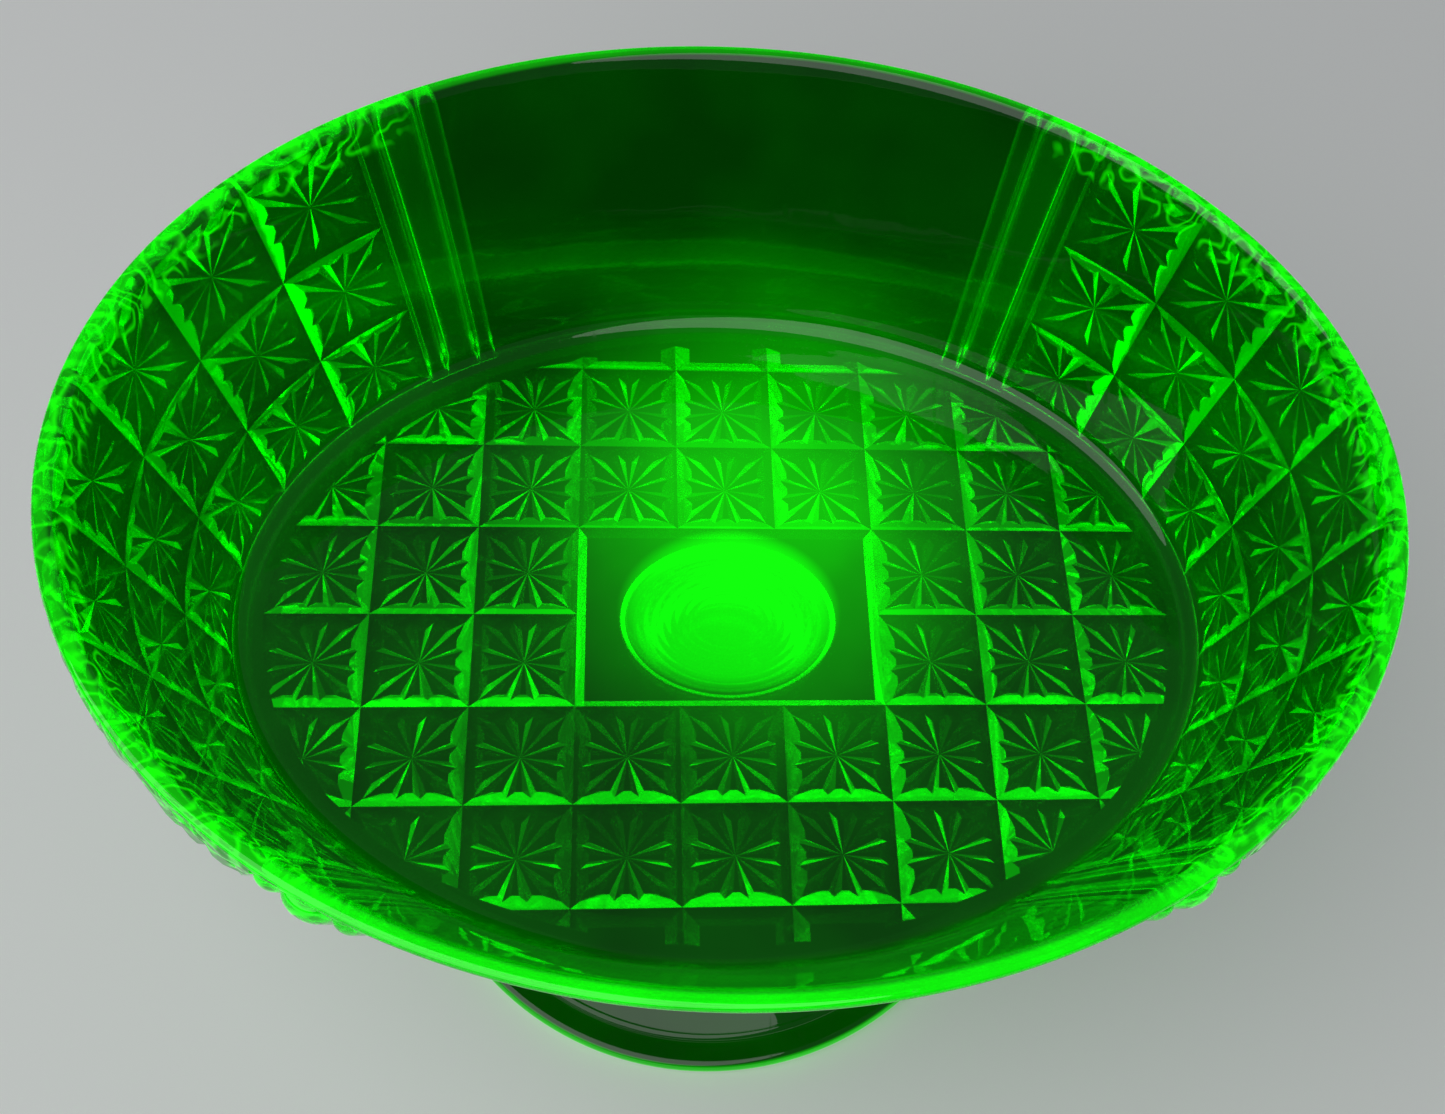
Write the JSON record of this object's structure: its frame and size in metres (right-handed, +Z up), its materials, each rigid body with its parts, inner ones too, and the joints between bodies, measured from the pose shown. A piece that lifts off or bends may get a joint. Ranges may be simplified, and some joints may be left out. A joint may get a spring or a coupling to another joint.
{
  "type": "footed glass dish",
  "caption": "Oval pressed glass dish on a round hollow pedestal foot, with star-cut blocks and upright reeds, in green uranium glass.",
  "frame": {"origin": "centre of the foot's underside, on the surface that the dish stands on", "axes": "+Z up out of the bowl, +X along the oval's long axis, -Y towards the front"},
  "size_m": [0.218, 0.1792, 0.1415],
  "materials": {
    "bowl_glass": "fire-polished pressed uranium glass",
    "join_glass": "hot-worked uranium glass",
    "pedestal_glass": "fire-polished pressed uranium glass"
  },
  "bodies": {
    "root": {"bowl": "bowl_glass", "join_wafer": "join_glass", "pedestal": "pedestal_glass"}
  },
  "joints": []
}
